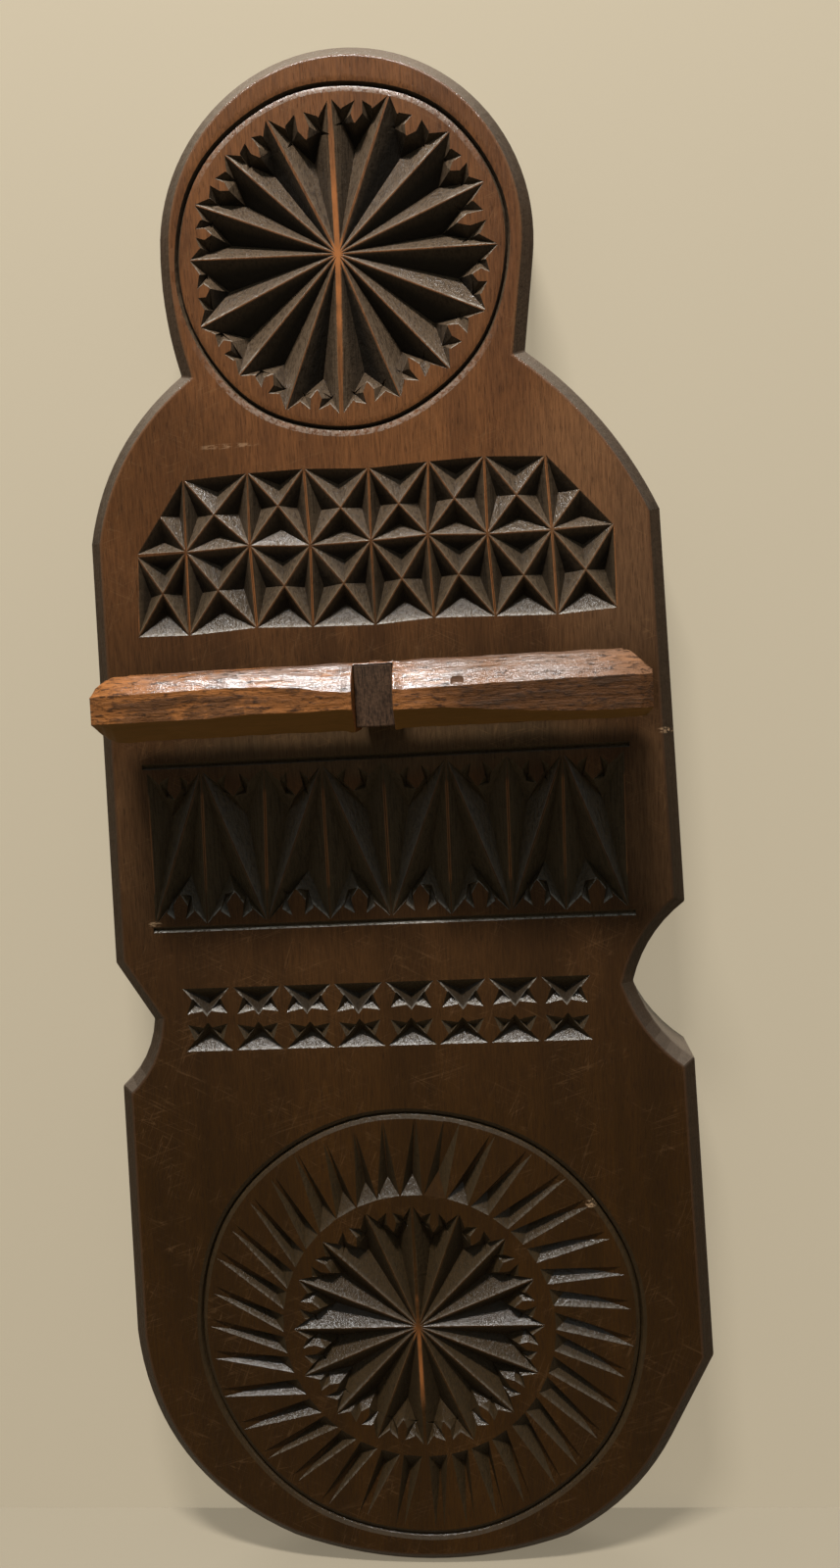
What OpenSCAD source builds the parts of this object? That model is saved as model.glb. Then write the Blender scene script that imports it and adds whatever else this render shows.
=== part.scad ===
// Chip-carved wooden spoon rack: a shaped back board with a bracket arm that carries one hewn crossbar.
// The back of the board is the plane Y = 0, the carved front faces -Y and Z is up.
// The origin is the mouth of the hanging hole in the back of the head.
// Every "drop" is measured down from the top of the head, every "h" up from the foot.

/* [Board] */
// Height from the rounded foot to the top of the head
board_h = 370; // [344:1:424]
// Thickness of the board
board_t = 19; // [16:0.5:26]
// Width across the shoulders
shoulder_w = 136; // [124:1:150]
// Sideways place of the middle of the shoulders
shoulder_x = -1.2; // [-4:0.1:4]
// Width at the foot, where the board is widest
foot_w = 145.5; // [130:0.5:167]
// Width of the bevel round the front, seen from the front
bevel_w = 3; // [1:0.25:4]
// Depth of the same bevel
bevel_d = 2.5; // [1:0.25:4]

/* [Head] */
// Radius of the round head
head_r = 44; // [41:0.2:48]
// Sideways place of the head's centre
head_x = -3.6; // [-5:0.1:5]
// Width of the neck, where the head meets the shoulders
neck_w = 81.5; // [72:0.5:84]
// Drop of the neck's two inner corners
neck_drop = 71; // [65:1:77]
// Bow of the head's left side, above the neck
head_bow = 1; // [0.25:0.25:2]

/* [Shoulders] */
// Drop of the corners where the shoulders run into the sides
shoulder_drop = 109; // [100:1:118]
// Bow of the left shoulder
left_shoulder_bow = 4.5; // [1:0.5:9]
// Bow of the right shoulder
right_shoulder_bow = 3; // [1:0.5:9]

/* [Side notches] */
// Drop of the deepest point of the left notch
left_notch_drop = 226.5; // [219:0.5:233]
// Depth of the left notch
left_notch_depth = 9; // [4:0.5:12]
// Rise of the left notch above its deepest point
left_notch_rise = 14.5; // [8:0.5:18]
// Fall of the left notch below its deepest point
left_notch_fall = 17; // [8:0.5:20]
// Drop of the deepest point of the right notch
right_notch_drop = 221; // [214:1:228]
// Depth of the right notch
right_notch_depth = 13.5; // [6:0.5:16]
// Rise of the right notch above its deepest point
right_notch_rise = 19; // [10:0.5:24]
// Fall of the right notch below its deepest point
right_notch_fall = 19.5; // [10:0.5:24]
// Hollow of the notches' curved flanks
notch_hollow = 2; // [0.5:0.25:3]

/* [Rounded foot] */
// Height where the left side starts to curve in
left_heel_h = 62; // [54:1:70]
// Bow of the left heel
left_heel_bow = 10; // [6:0.5:12]
// Height of the corner where the right side is cut away
right_heel_h = 54; // [50:1:62]
// Height of the lower end of that straight cut
right_cut_h = 33; // [28:1:38]
// How far that lower end lies in from the side
right_cut_in = 11.5; // [8:0.5:14]
// Bow of the curve below the straight cut
right_heel_bow = 3; // [1:0.5:5]
// Height of the two ends of the low middle stretch
toe_h = 6.5; // [4:0.5:8]
// Width of the low middle stretch
toe_w = 70; // [60:1:80]

/* [Rosettes] */
// Number of petals in each rosette
petals = 16; // [10:1:20]
// Width of wood left flat along every carved ridge
ridge_w = 0.5; // [0.3:0.1:1]
// Radius of the ring round the upper rosette
upper_ring_r = 38.8; // [37:0.2:40]
// Radius of the upper rosette's petals
upper_petal_r = 36; // [30:0.5:37]
// Depth of the upper petals
upper_petal_depth = 4; // [2:0.25:5]
// Drop of the upper rosette's centre
upper_rosette_drop = 47; // [45:0.5:49]
// Radius of the ring round the lower rosette
lower_ring_r = 55; // [52:0.5:58]
// Radius of the lower rosette's petals
lower_petal_r = 33; // [28:0.5:34]
// Depth of the lower petals
lower_petal_depth = 3.2; // [2:0.2:4]
// Height of the lower rosette's centre
lower_rosette_h = 63.5; // [62:0.5:68]
// Number of rays round the lower rosette
rays = 37; // [24:1:48]
// How far round the rays' points lean, in degrees
ray_lean = 5; // [0:0.5:8]
// Gap between the petals and the rays, and between the rays and their ring
ray_margin = 2; // [1.5:0.25:3]
// Depth of the rays
ray_depth = 1.8; // [1:0.1:2.5]
// Width of the two ring grooves
ring_groove_w = 1.6; // [0.8:0.1:2.4]
// Depth of the two ring grooves
ring_groove_depth = 1.2; // [0.6:0.1:2]

/* [Carved bands] */
// Cells across the star band and the zigzag band
cells = 8; // [6:1:9]
// Pitch of those cells
cell_pitch = 14.3; // [11:0.1:14.6]
// Drop of the foot of the star band
star_drop = 132; // [128:1:135]
// Height of one row of the star band
star_row_h = 18.5; // [14:0.5:19]
// Depth of the star band's chips
star_depth = 3; // [1.5:0.25:4]
// Drop of the foot of the zigzag band
zigzag_drop = 203; // [200:1:205]
// Height of the zigzag band
zigzag_h = 39; // [30:0.5:40]
// Depth of the zigzag band's chips
zigzag_depth = 4; // [2:0.25:5]
// Chips along the narrow band
narrow_count = 8; // [5:1:8]
// Pitch of those chips
narrow_pitch = 12.3; // [9:0.1:12.5]
// Drop of the foot of the narrow band
narrow_drop = 234.5; // [230:0.5:238]
// Height of the narrow band
narrow_h = 15.5; // [12:0.5:18]
// Sideways place of the middle of the narrow band
narrow_x = -4.3; // [-6:0.1:2]
// Depth of the narrow band's chips
narrow_depth = 2.4; // [1:0.2:3]

/* [Crossbar] */
// Length of the bar
bar_l = 123.5; // [100:0.5:140]
// Sideways place of the bar's middle
bar_x = -1.2; // [-4:0.1:4]
// Height of the bar
bar_h = 15.8; // [13:0.2:19]
// Depth of the bar from back to front
bar_d = 17.5; // [13:0.5:20]
// Clear gap between the bar and the board, for the spoon handles
spoon_gap = 8.5; // [7:0.5:20]
// Drop of the bar's middle
bar_drop = 149; // [147:0.5:151]
// Height of the facet hewn off the bar's upper front edge
upper_facet_h = 6.7; // [3:0.1:7]
// Depth of the same facet
upper_facet_d = 5.5; // [3:0.25:6]
// Height of the facet hewn off the bar's lower front edge
lower_facet_h = 5.4; // [3:0.1:6]
// Depth of the same facet
lower_facet_d = 4.5; // [2:0.25:6]
// Chamfer along the bar's two back edges
bar_back_chamfer = 1.2; // [0.5:0.1:1.4]
// Cut on the right upper corner of the bar
bar_corner_cut = 5.2; // [2:0.2:6]
// Cut on the left upper corner of the bar
bar_left_cut = 4.4; // [2:0.2:6]
// Cut on the bar's two lower corners
bar_end_cut = 2; // [0.5:0.25:3]

/* [Arm and joints] */
// Width of the arm
arm_w = 8.7; // [6:0.1:12]
// Wood of the bar left above and below the arm
arm_inset = 1; // [0.6:0.1:2]
// Thickness of the arm's upright lip in front of the lap
lip_t = 3.5; // [2.5:0.25:4]
// Depth of the lap cut in the arm's top
lap_depth = 6.5; // [4:0.25:7]
// Height of the tenon through the board
tenon_h = 9.6; // [7:0.2:11]
// Play on each side of the tenon, the lap and the pin
joint_play = 0.1; // [0.05:0.05:0.25]
// Thickness of the tenon wedge at its driven end
wedge_t = 1.8; // [1.2:0.1:2.5]
// Thickness of the tenon wedge at its tip
wedge_tip_t = 0.6; // [0.3:0.1:1]
// Length of the tenon wedge
wedge_l = 12; // [6:0.5:14]
// Diameter of the pin that locks the lap
pin_d = 3; // [2:0.1:3.2]
// How far the pin enters the arm
pin_bite = 4.5; // [3:0.5:5]

/* [Hanging hole] */
// Diameter of the hanging hole
hang_d = 6; // [4:0.1:8]
// Depth of the hanging hole
hang_depth = 9; // [6:0.5:10]

/* [Hidden] */
$fn = 48;

// Reach of a cutting shape past the face that it cuts
past = 1;

head_h = board_h - head_r;
hang_h = head_h;
shoulder_h = board_h - shoulder_drop;
neck_h = board_h - neck_drop;
left_notch_h = board_h - left_notch_drop;
right_notch_h = board_h - right_notch_drop;

// Share of the way from the foot's widest height up to the shoulders
function up_share(h) = (h - right_heel_h) / (shoulder_h - right_heel_h);
function middle_at(h) = shoulder_x * up_share(h);
function half_at(h) = foot_w / 2 + (shoulder_w - foot_w) / 2 * up_share(h);
function left_at(h, depth = 0) = [middle_at(h) - half_at(h) + depth, h];
function right_at(h, depth = 0) = [middle_at(h) + half_at(h) - depth, h];

// Points from p to q on a curve that bows by s to the right of the way, without q itself
function bowed(p, q, s, n = 8) =
    let(c = norm(q - p), u = (q - p) / c, v = [u.y, -u.x])
    [for (i = [0 : n - 1]) let(k = i / n) p + u * c * k + v * s * 4 * k * (1 - k)];

// Points on a circle's arc from angle a to angle b
function swept(centre, r, a, b, n = 24) =
    [for (i = [0 : n]) let(t = a + (b - a) * i / n) centre + r * [cos(t), sin(t)]];

// Corners of the outline
head_centre = [head_x, head_h];
head_left = head_centre + head_r * [cos(180), sin(180)];
neck_right = [head_x + neck_w / 2, neck_h];
neck_left = [head_x - neck_w / 2, neck_h];
left_shoulder = left_at(shoulder_h);
right_shoulder = right_at(shoulder_h);
left_notch_top = left_at(left_notch_h + left_notch_rise);
left_notch_deep = left_at(left_notch_h, left_notch_depth);
left_notch_end = left_at(left_notch_h - left_notch_fall);
right_notch_top = right_at(right_notch_h + right_notch_rise);
right_notch_deep = right_at(right_notch_h, right_notch_depth);
right_notch_end = right_at(right_notch_h - right_notch_fall);
left_heel = left_at(left_heel_h);
left_toe = [-toe_w / 2, toe_h];
right_toe = [toe_w / 2, toe_h];
right_cut = right_at(right_cut_h, right_cut_in);
right_heel = right_at(right_heel_h);

// The outline, anticlockwise as seen from the front, from the neck's right corner over the head
outline = concat(
    [neck_right],
    swept(head_centre, head_r, -8, 174),
    bowed(head_left, neck_left, head_bow, 4),
    bowed(neck_left, left_shoulder, left_shoulder_bow),
    [left_shoulder, left_notch_top],
    bowed(left_notch_deep, left_notch_end, -notch_hollow, 5),
    [left_notch_end],
    bowed(left_heel, left_toe, left_heel_bow, 12),
    bowed(left_toe, right_toe, toe_h, 12),
    bowed(right_toe, right_cut, right_heel_bow, 8),
    [right_cut, right_heel],
    bowed(right_notch_end, right_notch_deep, -notch_hollow, 5),
    bowed(right_notch_deep, right_notch_top, -notch_hollow, 5),
    [right_notch_top],
    bowed(right_shoulder, neck_right, right_shoulder_bow)
);

function unit(v) = v / norm(v);

// The outline moved out by d, corner by corner
function grown(pts, d) =
    let(n = len(pts))
    [for (i = [0 : n - 1])
        let(a = unit(pts[i] - pts[(i + n - 1) % n]), b = unit(pts[(i + 1) % n] - pts[i]))
        let(na = [a.y, -a.x], nb = [b.y, -b.x])
        pts[i] + (na + nb) * d / (1 + na * nb)];

// Sizes along the arm, measured out from the back of the board
bar_back = board_t + spoon_gap;
arm_reach = bar_d - upper_facet_d;
arm_end = bar_back + arm_reach;
lap_end = arm_end - lip_t;
arm_up = bar_h / 2 - arm_inset;
lap_floor = arm_up - lap_depth;
pin_out = bar_back + (arm_reach - lip_t) / 2;
bar_up = board_h - bar_drop;

// Lays a flat drawing (x across, y up from the foot, z out to the front) into the part's frame
module stand() {
    translate([0, 0, -hang_h]) rotate([90, 0, 0]) children();
}

// Extrudes a side profile, drawn as [out, up], over a width centred at x and at the bar's height
module side_profile(points, width, x = 0) {
    translate([x + width / 2, bar_up, 0]) rotate([0, -90, 0]) linear_extrude(width) polygon(points);
}

// Block on the outline, longer than the board both ways, whose front edge leans in as the bevel does
module bevel_block() {
    n = len(outline);
    slope = bevel_w / bevel_d;
    rings = [[-past, 0], [board_t - bevel_d, 0], [board_t + past, -bevel_w - past * slope]];
    points = [for (r = rings) for (p = grown(outline, r[1])) [p.x, p.y, r[0]]];
    walls = [for (k = [0 : len(rings) - 2]) for (i = [0 : n - 1])
        let(j = (i + 1) % n)
        [k * n + i, (k + 1) * n + i, (k + 1) * n + j, k * n + j]];
    back = [for (i = [0 : n - 1]) i];
    front = [for (i = [n - 1 : -1 : 0]) (len(rings) - 1) * n + i];
    polyhedron(points, concat([back], walls, [front]));
}

// A triangle's corners drawn in by d from all three sides
function drawn_in(t, d) =
    [for (i = [0 : 2])
        let(u = unit(t[(i + 1) % 3] - t[i]), v = unit(t[(i + 2) % 3] - t[i]))
        t[i] + (u + v) * d / abs(u.x * v.y - u.y * v.x)];

// Distance of a point from the line through p and q
function off_line(point, p, q) =
    let(u = unit(q - p), v = point - p)
    abs(u.x * v.y - u.y * v.x);

// One three-cornered chip: corners anticlockwise on the front, deepest at one point
// Its rim rises a little past the front face, by less than the ridge beside it is wide
module chip(triangle, deepest, depth) {
    pit = [deepest.x, deepest.y, board_t - depth];
    far = max([for (i = [0 : 2]) off_line(deepest, triangle[i], triangle[(i + 1) % 3])]);
    rise = 1 + ridge_w / 4 / far;
    rim = [for (p = drawn_in(triangle, ridge_w / 2)) pit + ([p.x, p.y, board_t] - pit) * rise];
    polyhedron(concat([pit], rim), [[0, 1, 2], [0, 2, 3], [0, 3, 1], [3, 2, 1]]);
}

function middle(t) = (t[0] + t[1] + t[2]) / 3;
function polar(centre, r, a) = centre + r * [cos(a), sin(a)];

// Petals of a rosette, each a long chip that is deepest near its outer end
module rosette(centre, r, depth) {
    step = 360 / petals;
    deepest_share = 0.74;
    for (i = [0 : petals - 1])
        let(a = 90 + i * step)
        chip([centre, polar(centre, r, a), polar(centre, r, a + step)],
            polar(centre, r * deepest_share, a + step / 2), depth);
}

// Rays that stand round the lower rosette with their points on the ring
module ray_ring(centre) {
    step = 360 / rays;
    inner = lower_petal_r + ray_margin;
    outer = lower_ring_r - ray_margin / 2;
    deepest_share = 0.3;
    for (i = [0 : rays - 1])
        let(a = i * step, along = a + step / 2)
        chip([polar(centre, inner, a), polar(centre, outer, along - ray_lean), polar(centre, inner, a + step)],
            polar(centre, inner + (outer - inner) * deepest_share, along - ray_lean * deepest_share), ray_depth);
}

// Round V groove
module ring_groove(centre, r) {
    half = ring_groove_w / 2;
    translate([centre.x, centre.y, board_t])
        rotate_extrude()
            polygon([[r, -ring_groove_depth], [r + half, 0], [r + half, past], [r - half, past], [r - half, 0]]);
}

band_left = shoulder_x - cells * cell_pitch / 2;
star_h = board_h - star_drop;
function cell_x(i) = band_left + i * cell_pitch;

// Four chips that leave a diagonal cross standing in one cell
module star_cell(x0, y0, x1, y1) {
    corners = [[x0, y0], [x1, y0], [x1, y1], [x0, y1]];
    centre = (corners[0] + corners[2]) / 2;
    for (i = [0 : 3])
        let(t = [corners[i], corners[(i + 1) % 4], centre])
        chip(t, middle(t), star_depth);
}

// Two rows of star cells, with the upper row cut to a slope at both ends
module star_band() {
    y1 = star_h + star_row_h;
    y2 = y1 + star_row_h;
    for (i = [0 : cells - 1])
        star_cell(cell_x(i), star_h, cell_x(i + 1), y1);
    for (i = [1 : cells - 2])
        star_cell(cell_x(i), y1, cell_x(i + 1), y2);
    for (side = [0, 1]) {
        outer = [cell_x(side * cells), y1];
        inner = [cell_x(1 + side * (cells - 2)), y1];
        top = [inner.x, y2];
        slope = (outer + top) / 2;
        low = side == 0 ? [outer, inner, slope] : [inner, outer, slope];
        high = side == 0 ? [inner, top, slope] : [top, inner, slope];
        chip(low, middle(low), star_depth);
        chip(high, middle(high), star_depth);
    }
}

// Tall columns, each split by a diagonal that leans the other way in the next one
module zigzag_band() {
    y0 = board_h - zigzag_drop;
    y1 = y0 + zigzag_h;
    deep = 0.25;
    for (i = [0 : cells - 1]) {
        x0 = cell_x(i);
        x1 = cell_x(i + 1);
        rising = i % 2 == 0;
        low = rising ? [[x0, y0], [x1, y0], [x1, y1]] : [[x0, y0], [x1, y0], [x0, y1]];
        high = rising ? [[x0, y0], [x1, y1], [x0, y1]] : [[x1, y0], [x1, y1], [x0, y1]];
        low_deep = (low[0] + low[1]) / 2 * (1 - deep) + low[2] * deep;
        high_deep = (high[1] + high[2]) / 2 * (1 - deep) + high[0] * deep;
        chip(low, low_deep, zigzag_depth);
        chip(high, high_deep, zigzag_depth);
    }
}

// Pairs of chips that meet point to point
module narrow_band() {
    y0 = board_h - narrow_drop;
    y1 = y0 + narrow_h;
    for (i = [0 : narrow_count - 1]) {
        x0 = narrow_x + (i - narrow_count / 2) * narrow_pitch;
        x1 = x0 + narrow_pitch;
        meet = [(x0 + x1) / 2, (y0 + y1) / 2];
        low = [[x0, y0], [x1, y0], meet];
        high = [[x1, y1], [x0, y1], meet];
        chip(low, middle(low), narrow_depth);
        chip(high, middle(high), narrow_depth);
    }
}

upper_centre = [head_x, board_h - upper_rosette_drop];
lower_centre = [0, lower_rosette_h];

module carving() {
    rosette(upper_centre, upper_petal_r, upper_petal_depth);
    ring_groove(upper_centre, upper_ring_r);
    star_band();
    zigzag_band();
    narrow_band();
    rosette(lower_centre, lower_petal_r, lower_petal_depth);
    ray_ring(lower_centre);
    ring_groove(lower_centre, lower_ring_r);
}

// The back board: one plank with a bevelled front, carved all over, mortised for the arm
module board() {
    mortise_up = tenon_h / 2 + joint_play;
    color("#4a2c1a") stand() difference() {
        intersection() {
            linear_extrude(board_t) polygon(outline);
            bevel_block();
        }
        side_profile([[-past, -mortise_up], [board_t + past, -mortise_up],
            [board_t + past, mortise_up], [-past, mortise_up]], arm_w + 2 * joint_play);
        translate([0, hang_h, -past]) cylinder(d = hang_d, h = hang_depth + past);
        carving();
    }
}

wedge_profile = [[0, -wedge_t / 2], [wedge_l, -wedge_tip_t / 2], [wedge_l, wedge_tip_t / 2], [0, wedge_t / 2]];

// Hole for the lap's pin, from above the bar down into the arm
module pin_hole(d, top) {
    foot = lap_floor - pin_bite;
    translate([0, bar_up + foot, pin_out]) rotate([-90, 0, 0]) cylinder(d = d, h = top - foot);
}

// The bracket arm: a wedged tenon through the board, and a lap with a lip that holds the bar
module arm() {
    color("#3a2517") stand() difference() {
        side_profile([
            [0, -tenon_h / 2], [board_t, -tenon_h / 2],
            [board_t, -arm_up], [arm_end, -arm_up],
            [arm_end, arm_up], [lap_end, arm_up],
            [lap_end, lap_floor], [bar_back, lap_floor],
            [bar_back, arm_up], [board_t, arm_up],
            [board_t, tenon_h / 2], [0, tenon_h / 2]], arm_w);
        side_profile(concat([[-past, -wedge_t / 2]], wedge_profile, [[-past, wedge_t / 2]]), arm_w + 2 * past);
        pin_hole(pin_d + 2 * joint_play, bar_h);
    }
}

// A wedge-shaped cut across one end corner of the bar
module end_cut(x, up, size) {
    translate([x, bar_up + up * bar_h / 2, bar_back + bar_d / 2])
        rotate([0, 0, 45])
            cube([size * sqrt(2), size * sqrt(2), bar_d + 2 * past], center = true);
}

// The crossbar: one hewn stick of eight facets, notched from below over the arm
module crossbar() {
    top = bar_h / 2;
    left = bar_x - bar_l / 2;
    right = bar_x + bar_l / 2;
    lap_front = lap_end - joint_play;
    color("#8a5a2b") stand() difference() {
        side_profile([
            [bar_back, -top + bar_back_chamfer], [bar_back + bar_back_chamfer, -top],
            [bar_back + bar_d - lower_facet_d, -top], [bar_back + bar_d, -top + lower_facet_h],
            [bar_back + bar_d, top - upper_facet_h], [bar_back + bar_d - upper_facet_d, top],
            [bar_back + bar_back_chamfer, top], [bar_back, top - bar_back_chamfer]], bar_l, bar_x);
        side_profile([
            [bar_back - past, -top - past], [bar_back + bar_d + past, -top - past],
            [bar_back + bar_d + past, arm_up + joint_play], [lap_front, arm_up + joint_play],
            [lap_front, lap_floor], [bar_back - past, lap_floor]], arm_w + 2 * joint_play);
        pin_hole(pin_d + 2 * joint_play, bar_h);
        end_cut(right, 1, bar_corner_cut);
        end_cut(right, -1, bar_end_cut);
        end_cut(left, 1, bar_left_cut);
        end_cut(left, -1, bar_end_cut);
    }
}

// The wedge driven into the tenon's saw cut from behind
module tenon_wedge() {
    color("#7a5230") stand() side_profile(wedge_profile, arm_w);
}

// The round pin that locks the bar down on the arm
module lap_pin() {
    color("#6b4526") stand() pin_hole(pin_d, bar_h / 2);
}

board();
arm();
crossbar();
tenon_wedge();
lap_pin();
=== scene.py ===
import math
import random

import bmesh
import bpy
from mathutils import Matrix, Vector


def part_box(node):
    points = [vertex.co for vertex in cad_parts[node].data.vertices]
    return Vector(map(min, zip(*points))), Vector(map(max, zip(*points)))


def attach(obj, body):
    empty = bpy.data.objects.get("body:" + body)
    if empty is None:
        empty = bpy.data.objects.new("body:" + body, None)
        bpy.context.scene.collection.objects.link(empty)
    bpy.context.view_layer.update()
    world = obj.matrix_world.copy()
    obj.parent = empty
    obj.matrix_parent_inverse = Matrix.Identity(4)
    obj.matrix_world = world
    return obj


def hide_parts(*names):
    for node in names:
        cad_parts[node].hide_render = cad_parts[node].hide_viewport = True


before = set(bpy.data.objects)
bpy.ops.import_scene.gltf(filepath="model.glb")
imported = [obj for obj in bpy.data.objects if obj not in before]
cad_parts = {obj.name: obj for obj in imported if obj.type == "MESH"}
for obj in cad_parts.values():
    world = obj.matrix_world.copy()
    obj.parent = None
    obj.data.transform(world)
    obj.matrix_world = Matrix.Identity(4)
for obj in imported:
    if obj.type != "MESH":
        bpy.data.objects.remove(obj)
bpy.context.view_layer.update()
bpy.context.scene.view_settings.view_transform = "Standard"


# The back board
# One plank of dark stained hardwood, sawn to a round head, sloping shoulders and two side notches.
# Its front is chip-carved by hand and its front edge bevelled. It hangs by a blind hole in the back.

MM = 0.001
board_low, board_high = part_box("board")
foot_z = board_low[2]
board_t = (board_high[1] - board_low[1]) / MM


def spot(x, h, out):
    """A point in millimetres across, up from the foot and out from the back of the board."""
    return Vector((x * MM, -out * MM, foot_z + h * MM))


def bowed(p, q, bow, steps):
    """Points from p towards q on a curve that bows to the right of the way."""
    along = Vector(q) - Vector(p)
    aside = Vector((along.y, -along.x)).normalized()
    shares = [i / steps for i in range(steps)]
    return [Vector(p) + along * k + aside * bow * 4 * k * (1 - k) for k in shares]


def swept(centre, radius, start, stop, steps):
    """Points on an arc, with its angles in degrees."""
    angles = [math.radians(start + (stop - start) * i / steps) for i in range(steps + 1)]
    return [Vector(centre) + radius * Vector((math.cos(a), math.sin(a))) for a in angles]


heel_h, shoulder_h = 54, 261
heel_half, shoulder_half, shoulder_x = 72.75, 68, -1.2


def edge(h, side, depth=0.0):
    """A point on the board's left (-1) or right (1) edge, moved in by a depth."""
    share = (h - heel_h) / (shoulder_h - heel_h)
    half = heel_half + (shoulder_half - heel_half) * share
    return Vector((shoulder_x * share + side * (half - depth), h))


def turned(centre, r, angle):
    """A point at an angle in degrees, anticlockwise from the right."""
    return centre + r * Vector((math.cos(math.radians(angle)), math.sin(math.radians(angle))))


head, head_r = Vector((-3.6, 326)), 43.95
neck_left, neck_right = (-44.35, 299), (37.15, 299)
left_notch_top, left_notch_h, left_notch_foot, left_notch_depth = 158, 143.5, 126.5, 9
right_notch_top, right_notch_h, right_notch_foot, right_notch_depth = 168, 149, 129.5, 13.5
notch_hollow = -2
left_notch_end, right_notch_end = edge(left_notch_foot, -1), edge(right_notch_foot, 1)
left_notch_deep = edge(left_notch_h, -1, left_notch_depth)
right_notch_deep = edge(right_notch_h, 1, right_notch_depth)
left_heel_h, toe_h = 62, 6.5
left_toe, right_toe = (-35, toe_h), (35, toe_h)
right_cut = edge(33, 1, 11.5)
outline = [
    Vector(neck_right),
    *swept(head, head_r, -8, 174, 48),
    *bowed(turned(head, head_r, 180), neck_left, 1, 8),
    *bowed(neck_left, edge(shoulder_h, -1), 4.5, 14),
    edge(shoulder_h, -1),
    edge(left_notch_top, -1),
    *bowed(left_notch_deep, left_notch_end, notch_hollow, 6),
    left_notch_end,
    *bowed(edge(left_heel_h, -1), left_toe, 10, 18),
    *bowed(left_toe, right_toe, toe_h, 16),
    *bowed(right_toe, right_cut, 3, 10),
    right_cut,
    edge(heel_h, 1),
    *bowed(right_notch_end, right_notch_deep, notch_hollow, 7),
    *bowed(right_notch_deep, edge(right_notch_top, 1), notch_hollow, 7),
    edge(right_notch_top, 1),
    *bowed(edge(shoulder_h, 1), neck_right, 3, 14),
]


def slab(name, corners, reach):
    """A flat shape raised to a solid: a filled circle moved to its corners, then extruded."""
    bpy.ops.object.select_all(action="DESELECT")
    bpy.ops.mesh.primitive_circle_add(vertices=len(corners), fill_type="NGON", location=(0, 0, 0))
    piece = bpy.context.object
    piece.name = piece.data.name = name
    for vertex, corner in zip(piece.data.vertices, corners):
        vertex.co = corner
    bpy.ops.object.mode_set(mode="EDIT")
    bpy.ops.mesh.select_all(action="SELECT")
    bpy.ops.mesh.extrude_region_move(TRANSFORM_OT_translate={"value": reach})
    bpy.ops.mesh.select_all(action="SELECT")
    bpy.ops.mesh.normals_make_consistent(inside=False)
    bpy.ops.object.mode_set(mode="OBJECT")
    return piece


def round_edges(piece, width, angle):
    """Takes the sharpness off every edge that turns by more than an angle in degrees."""
    soft = piece.modifiers.new("soft_edges", "BEVEL")
    soft.width = width * MM
    soft.segments = 2
    soft.limit_method = "ANGLE"
    soft.angle_limit = math.radians(angle)
    bpy.context.view_layer.objects.active = piece
    bpy.ops.object.modifier_apply(modifier=soft.name)


def pick_faces(piece, test):
    """In edit mode, selects only the faces that pass a test."""
    bpy.ops.mesh.select_all(action="DESELECT")
    shape = bmesh.from_edit_mesh(piece.data)
    for face in shape.faces:
        if test(face):
            face.select_set(True)
    bmesh.update_edit_mesh(piece.data)


bevel_w, bevel_d = 3.0, 2.5
board = slab("carved_board", [spot(p.x, p.y, 0) for p in outline],
             (0, -(board_t - bevel_d) * MM, 0))
bpy.ops.object.mode_set(mode="EDIT")
pick_faces(board, lambda face: face.normal.y < -0.9)
bpy.ops.mesh.inset(thickness=bevel_w * MM, depth=0)
bpy.ops.transform.translate(value=(0, -bevel_d * MM, 0))
bpy.ops.object.mode_set(mode="OBJECT")
round_edges(board, 0.35, 28)

hand = random.Random(5)
cones = {}


def off(size):
    """A small slip of the carver's hand."""
    return Vector((hand.uniform(-size, size), hand.uniform(-size, size)))


def drawn_in(corners, insets):
    """Corners, anticlockwise from the front, moved in by the insets of their two sides."""
    moved = []
    for i, p in enumerate(corners):
        a = (p - corners[i - 1]).normalized()
        b = (corners[(i + 1) % len(corners)] - p).normalized()
        na, nb = Vector((a.y, -a.x)), Vector((b.y, -b.x))
        before, after = insets[i - 1], insets[i]
        bend = na.dot(nb)
        shift = na * (bend * after - before) + nb * (bend * before - after)
        moved.append(p + shift / (1 - bend * bend))
    return moved


def anticlockwise(corners):
    """The same corners in the order that a cut needs, as seen from the front."""
    area = sum(p.x * q.y - p.y * q.x for p, q in zip(corners, [*corners[1:], corners[0]]))
    return corners if area > 0 else corners[::-1]


def chip(corners, deepest, depth, insets=0.12):
    """The wood that one chip takes out: a cone on the chip's corners, down to its deepest point."""
    proud = 0.02
    sides = len(corners)
    if sides not in cones:
        bpy.ops.object.select_all(action="DESELECT")
        bpy.ops.mesh.primitive_cone_add(vertices=sides, radius1=1, radius2=0, depth=1)
        cones[sides] = bpy.context.object
    tool = cones[sides].copy()
    tool.data = tool.data.copy()
    bpy.context.collection.objects.link(tool)
    if not isinstance(insets, list):
        insets = [insets] * sides
    pit = spot(deepest.x, deepest.y, board_t - depth)
    rise = 1 + proud / depth
    drawn = drawn_in(anticlockwise(corners), insets)
    rim = [pit + (spot(p.x, p.y, board_t) - pit) * rise for p in drawn]
    for vertex, place in zip(tool.data.vertices, [*rim, pit]):
        vertex.co = place
    tool.matrix_world = Matrix.Identity(4)
    return tool


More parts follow.
